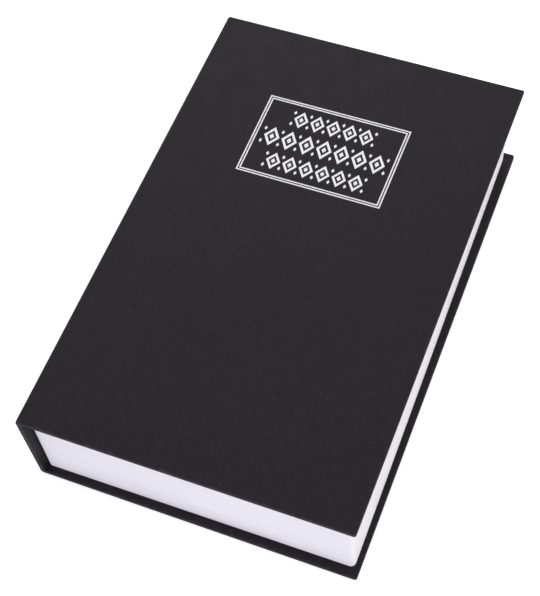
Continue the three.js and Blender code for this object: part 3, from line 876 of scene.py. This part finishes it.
def leaf_lines_tree():
    """Fine raised lines round the block, one above another, as the edges of leaves."""
    tree, asked = geometry_tree("leaf lines", {
        "Outline": "Object", "First Level": "Float", "Spacing": "Float", "Line Width": "Float",
        "Line Rise": "Float", "Lines": "Int", "Seed": "Int", "Material": "Material",
    })

    # one closed line: the outline of the walls
    wall = add_node(tree, "GeometryNodeObjectInfo", {"Object": asked["Outline"]})
    line = add_node(tree, "GeometryNodeMeshToCurve", {"Mesh": wall.outputs["Geometry"]})
    upright = add_node(tree, "GeometryNodeSetCurveNormal", {"Curve": line.outputs["Curve"]},
                       mode="Z_UP")

    # its levels, each a little off its place
    start = add_node(tree, "ShaderNodeCombineXYZ", {"Z": asked["First Level"]})
    step = add_node(tree, "ShaderNodeCombineXYZ", {"Z": asked["Spacing"]})
    levels = add_node(tree, "GeometryNodeMeshLine", {
        "Count": asked["Lines"],
        "Start Location": start.outputs["Vector"],
        "Offset": step.outputs["Vector"],
    })
    least, most = 2, 3  # the inputs that hold a float's range
    stray = add_node(tree, "FunctionNodeRandomValue", {
        least: -LEAF_STRAY, most: LEAF_STRAY, "Seed": asked["Seed"],
    }, data_type="FLOAT")
    shift = add_node(tree, "ShaderNodeMath", {0: stray.outputs[1], 1: asked["Spacing"]},
                     operation="MULTIPLY")
    lift = add_node(tree, "ShaderNodeCombineXYZ", {"Z": shift.outputs[0]})
    moved = add_node(tree, "GeometryNodeSetPosition", {
        "Geometry": levels.outputs["Mesh"], "Offset": lift.outputs["Vector"],
    })
    stack = add_node(tree, "GeometryNodeInstanceOnPoints", {
        "Points": moved.outputs["Geometry"], "Instance": upright.outputs["Curve"],
    })
    real = add_node(tree, "GeometryNodeRealizeInstances", {"Geometry": stack.outputs["Instances"]})

    # a flat lozenge as the line's section
    section = add_node(tree, "GeometryNodeCurvePrimitiveCircle", {"Resolution": 4, "Radius": 1.0})
    scale = add_node(tree, "ShaderNodeCombineXYZ", {
        "X": asked["Line Rise"], "Y": asked["Line Width"],
    })
    shape = add_node(tree, "GeometryNodeTransform", {
        "Geometry": section.outputs["Curve"], "Scale": scale.outputs["Vector"],
    })
    sweep = add_node(tree, "GeometryNodeCurveToMesh", {
        "Curve": real.outputs["Geometry"], "Profile Curve": shape.outputs["Geometry"],
    })
    end_tree(tree, sweep.outputs["Mesh"], asked["Material"])
    return tree


def make_leaf_lines():
    """The leaf lines on the block's walls."""
    spacing = (block_high.z - block_low.z - 2 * LEAF_MARGIN) / (LEAF_LINES - 1)
    loop = [Vector(point) * MM for point in outer_loop(0, 0)]
    mesh = bpy.data.meshes.new("wall_outline")
    mesh.from_pydata(loop, [(i, (i + 1) % len(loop)) for i in range(len(loop))], [])
    outline = bpy.data.objects.new("wall_outline", mesh)
    bpy.context.scene.collection.objects.link(outline)
    values = {
        "Outline": outline,
        "First Level": (block_low.z + LEAF_MARGIN) * MM,
        "Spacing": spacing * MM,
        "Line Width": LEAF_LINE_WIDTH / 2 * MM,
        "Line Rise": LEAF_LINE_RISE * MM,
        "Lines": LEAF_LINES,
        "Seed": LEAF_SEED,
        "Material": page_plastic,
    }
    lines = grown("leaf_lines", leaf_lines_tree(), values, page_plastic, LEAF_SHARP_ANGLE)
    bpy.data.objects.remove(outline)
    settle(lines, "base", "page_plastic")


# the box, its lid and its lock

CAD_SAME_POINT = 0.001  # points of a CAD mesh this close together are one point
FLAT_ANGLE = 1  # its faces within this many degrees of one plane are one face
HARD_ANGLE = 30  # an edge that turns by more than this is eased
EASED_SHARP_ANGLE = 50  # and an eased piece shades sharply only from this
EASING_STEPS = 2  # faces across an eased edge
RIVET_DOME = 0.75  # height of the domed part of a rivet's head
RIVETS = 4  # in each leaf of the hinge
WAFERS = 5
TURNED_SIDES = 32

EASED_PARTS = [
    # node, piece, body, easing radius, material, slot
    ("steel_box", "cash_box", "base", 0.35, powder_coat, "box_steel"),
    ("lid_plate", "box_lid", "lid", 0.3, powder_coat, "box_steel"),
    ("lock_strike", "strike_bracket", "base", 0.2, zinc, "zinc_steel"),
    ("box_hinge_leaf", "hinge_box_leaf", "base", 0.12, zinc, "zinc_steel"),
    ("lid_hinge_leaf", "hinge_lid_leaf", "lid", 0.12, zinc, "zinc_steel"),
    ("lock_barrel", "lock_body", "lid", 0.15, chrome, "lock_chrome"),
    ("lock_nut", "lock_fixing_nut", "lid", 0.25, zinc, "zinc_steel"),
    ("lock_washer", "lock_fixing_washer", "lid", 0.15, zinc, "zinc_steel"),
    ("lock_plug", "lock_turning_plug", "lock_core", 0.12, chrome, "lock_chrome"),
    ("cam_stop_washer", "stop_washer", "lock_core", 0.12, zinc, "zinc_steel"),
    ("lock_cam", "cam", "lock_core", 0.2, zinc, "zinc_steel"),
    ("cam_screw", "cam_fixing_screw", "lock_core", 0.12, zinc, "zinc_steel"),
    ("key_1", "first_key", "base", 0.2, nickel, "key_brass"),
    ("key_2", "second_key", "base", 0.2, nickel, "key_brass"),
]


def eased_copy(node, name, radius, material):
    """A CAD node's shape with its hard edges eased, as bent sheet and turned metal have them."""
    shell = bmesh.new()
    shell.from_mesh(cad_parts[node].data)
    bmesh.ops.remove_doubles(shell, verts=shell.verts, dist=CAD_SAME_POINT * MM)
    bmesh.ops.dissolve_limit(shell, angle_limit=math.radians(FLAT_ANGLE), verts=shell.verts,
                             edges=shell.edges)
    hard = [
        edge for edge in shell.edges
        if len(edge.link_faces) == 2 and edge.calc_face_angle(0) > math.radians(HARD_ANGLE)
    ]
    bmesh.ops.bevel(shell, geom=hard, offset=radius * MM, segments=EASING_STEPS, affect="EDGES",
                    profile=0.5, clamp_overlap=True, harden_normals=False)
    mesh = bpy.data.meshes.new(name)
    shell.to_mesh(mesh)
    shell.free()
    piece = finish_mesh(name, mesh, material, EASED_SHARP_ANGLE)
    even = piece.modifiers.new("flat faces shade flat", "WEIGHTED_NORMAL")
    even.keep_sharp = True
    return piece


def make_hardware():
    """Eased pieces of the box, hinge, lock and keys, and finishes for the nodes left plain."""
    for node, name, body, radius, material, slot in EASED_PARTS:
        settle(eased_copy(node, name, radius, material), body, slot, node)
    plain = {f"tumbler_wafer_{i}": brass for i in range(1, WAFERS + 1)}
    plain["hinge_pin"] = zinc
    for node, material in plain.items():
        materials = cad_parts[node].data.materials
        materials.clear()
        materials.append(material)


def turned(name, profile, material):
    """A solid of revolution about Z from (radius, z) points that start and end on the axis."""
    points, faces = [], []
    for i in range(TURNED_SIDES):
        angle = 2 * math.pi * i / TURNED_SIDES
        points += [(r * math.cos(angle), r * math.sin(angle), z) for r, z in profile]
    count = len(profile)
    for i in range(TURNED_SIDES):
        here, after = i * count, (i + 1) % TURNED_SIDES * count
        for j in range(count - 1):
            faces.append((here + j, after + j, after + j + 1, here + j + 1))
    return make_piece(name, points, faces, material)


def make_rivets():
    """A row of domed rivets in each leaf of the hinge, where the CAD has them."""
    for side, body in (("box", "base"), ("lid", "lid")):
        nodes = [f"{side}_rivet_{i}" for i in range(1, RIVETS + 1)]
        boxes = sorted((extent(node) for node in nodes), key=lambda pair: pair[0].y)
        low, high = boxes[0]
        step = boxes[1][0].y - low.y
        middle = (low + high) / 2
        radius = (high.x - low.x) / 2
        profile = []
        for level, start in ((low.z + RIVET_DOME, -90), (high.z - RIVET_DOME, 0)):
            for i in range(ROUND_STEPS + 1):
                angle = math.radians(start + i * 90 / ROUND_STEPS)
                profile.append((radius * math.cos(angle), level + RIVET_DOME * math.sin(angle)))
        motif = turned("rivet", profile, zinc)
        piece = copies_in_a_row(f"{side}_rivets", motif, len(nodes), (middle.x, middle.y, 0),
                                (0, step, 0), zinc)
        settle(piece, body, "zinc_steel", *nodes)


# floor, light and camera

FLOOR_HALF = 4000.0  # half the floor's width
FLOOR_Z = -0.05  # just below the book
FLOOR_PAINT = (0.86, 0.86, 0.87, 1.0)
FLOOR_GLOW = 0.56  # what the camera sees of the floor beyond the light on it
FLOOR_GLOW_IN_GLOSS = 0.24  # and what glossy surfaces see of it
SKY = 0.52
SKY_TINT = (0.97, 0.97, 1.0, 1.0)

LAMPS = [
    # name, place and size in metres, power in watts, tint
    ("head light", (-0.6, 1.1, 1.0), 1.0, 5.8, (1.0, 1.0, 1.0)),
    ("foot light", (0.35, -1.4, 0.5), 1.2, 9.4, (0.97, 0.965, 1.0)),
    ("fore light", (1.3, 0.1, 0.5), 1.2, 6.4, (1.0, 0.975, 0.88)),
]

AIM = (5.47, -36.92, 26.5)  # the point that the camera faces
DISTANCE = 0.6185  # metres from there to the camera
AZIMUTH = 27.50  # degrees round from the foot towards the fore-edge
ELEVATION = 60.225
TILT = -7.11  # how far the picture is turned, in degrees
LENS = 81.64
SHIFT_Y = 0.0789
NEAREST, FARTHEST = 0.02, 50.0  # what the camera sees, in metres


def make_floor():
    """A pale floor, brighter for the camera than its light makes it."""
    corners = ((-1, -1), (1, -1), (1, 1), (-1, 1))
    points = [(a * FLOOR_HALF, b * FLOOR_HALF, FLOOR_Z) for a, b in corners]
    mesh = bpy.data.meshes.new("floor")
    mesh.from_pydata([Vector(p) * MM for p in points], [], [(0, 1, 2, 3)])
    floor = bpy.data.objects.new("floor", mesh)
    bpy.context.scene.collection.objects.link(floor)
    material = bpy.data.materials.new("pale floor")
    material.use_nodes = True
    tree = material.node_tree
    tree.nodes.clear()
    paint = add_node(tree, "ShaderNodeBsdfDiffuse", {"Color": FLOOR_PAINT})
    ray = add_node(tree, "ShaderNodeLightPath").outputs
    in_gloss = add_node(tree, "ShaderNodeMath", {
        0: ray["Is Glossy Ray"], 1: FLOOR_GLOW_IN_GLOSS,
    }, operation="MULTIPLY")
    strength = add_node(tree, "ShaderNodeMath", {
        0: ray["Is Camera Ray"], 1: FLOOR_GLOW, 2: in_gloss.outputs[0],
    }, operation="MULTIPLY_ADD")
    glow = add_node(tree, "ShaderNodeEmission", {"Color": WHITE, "Strength": strength.outputs[0]})
    mixed = add_node(tree, "ShaderNodeAddShader", {0: paint.outputs[0], 1: glow.outputs[0]})
    add_node(tree, "ShaderNodeOutputMaterial", {"Surface": mixed.outputs[0]})
    mesh.materials.append(material)


def make_sky():
    """An even sky for the light, which the camera and polished metal see as white."""
    world = bpy.data.worlds.new("studio")
    world.use_nodes = True
    tree = world.node_tree
    ray = add_node(tree, "ShaderNodeLightPath").outputs
    seen = add_node(tree, "ShaderNodeMath", {
        0: ray["Is Camera Ray"], 1: ray["Is Glossy Ray"],
    }, operation="MAXIMUM")
    strength = add_node(tree, "ShaderNodeMapRange", {
        "Value": seen.outputs[0], "To Min": SKY, "To Max": 1.0,
    })
    sky = tree.nodes["Background"]
    sky.inputs["Color"].default_value = SKY_TINT
    tree.links.new(strength.outputs[0], sky.inputs["Strength"])
    bpy.context.scene.world = world


def make_lamps():
    """Square lamps that face the middle of the book."""
    for name, place, size, power, tint in LAMPS:
        data = bpy.data.lights.new(name, "AREA")
        data.shape = "SQUARE"
        data.size = size
        data.energy = power
        data.color = tint
        lamp = bpy.data.objects.new(name, data)
        bpy.context.scene.collection.objects.link(lamp)
        lamp.location = place
        lamp.rotation_mode = "QUATERNION"
        lamp.rotation_quaternion = Vector(place).to_track_quat("Z", "Y")


def make_camera():
    """The photograph's view."""
    azimuth, elevation, tilt = (math.radians(angle) for angle in (AZIMUTH, ELEVATION, TILT))
    data = bpy.data.cameras.new("camera")
    data.lens = LENS
    data.shift_y = SHIFT_Y
    data.clip_start = NEAREST
    data.clip_end = FARTHEST
    camera = bpy.data.objects.new("camera", data)
    bpy.context.scene.collection.objects.link(camera)
    flat = math.cos(elevation)
    back = Vector((math.sin(azimuth) * flat, -math.cos(azimuth) * flat, math.sin(elevation)))
    level = Vector((math.cos(azimuth), math.sin(azimuth), 0))
    upright = back.cross(level)
    right = level * math.cos(tilt) + upright * math.sin(tilt)
    up = upright * math.cos(tilt) - level * math.sin(tilt)
    turn = Matrix((right, up, back)).transposed().to_4x4()
    place = Vector(AIM) * MM + back * DISTANCE
    camera.matrix_world = Matrix.Translation(place) @ turn
    bpy.context.scene.camera = camera


# the whole scene

bpy.context.scene.view_settings.view_transform = "Standard"

make_case()
make_linings()
make_stamping()
make_page_block()
make_leaf_lines()
make_hardware()
make_rivets()
make_floor()
make_sky()
make_lamps()
make_camera()
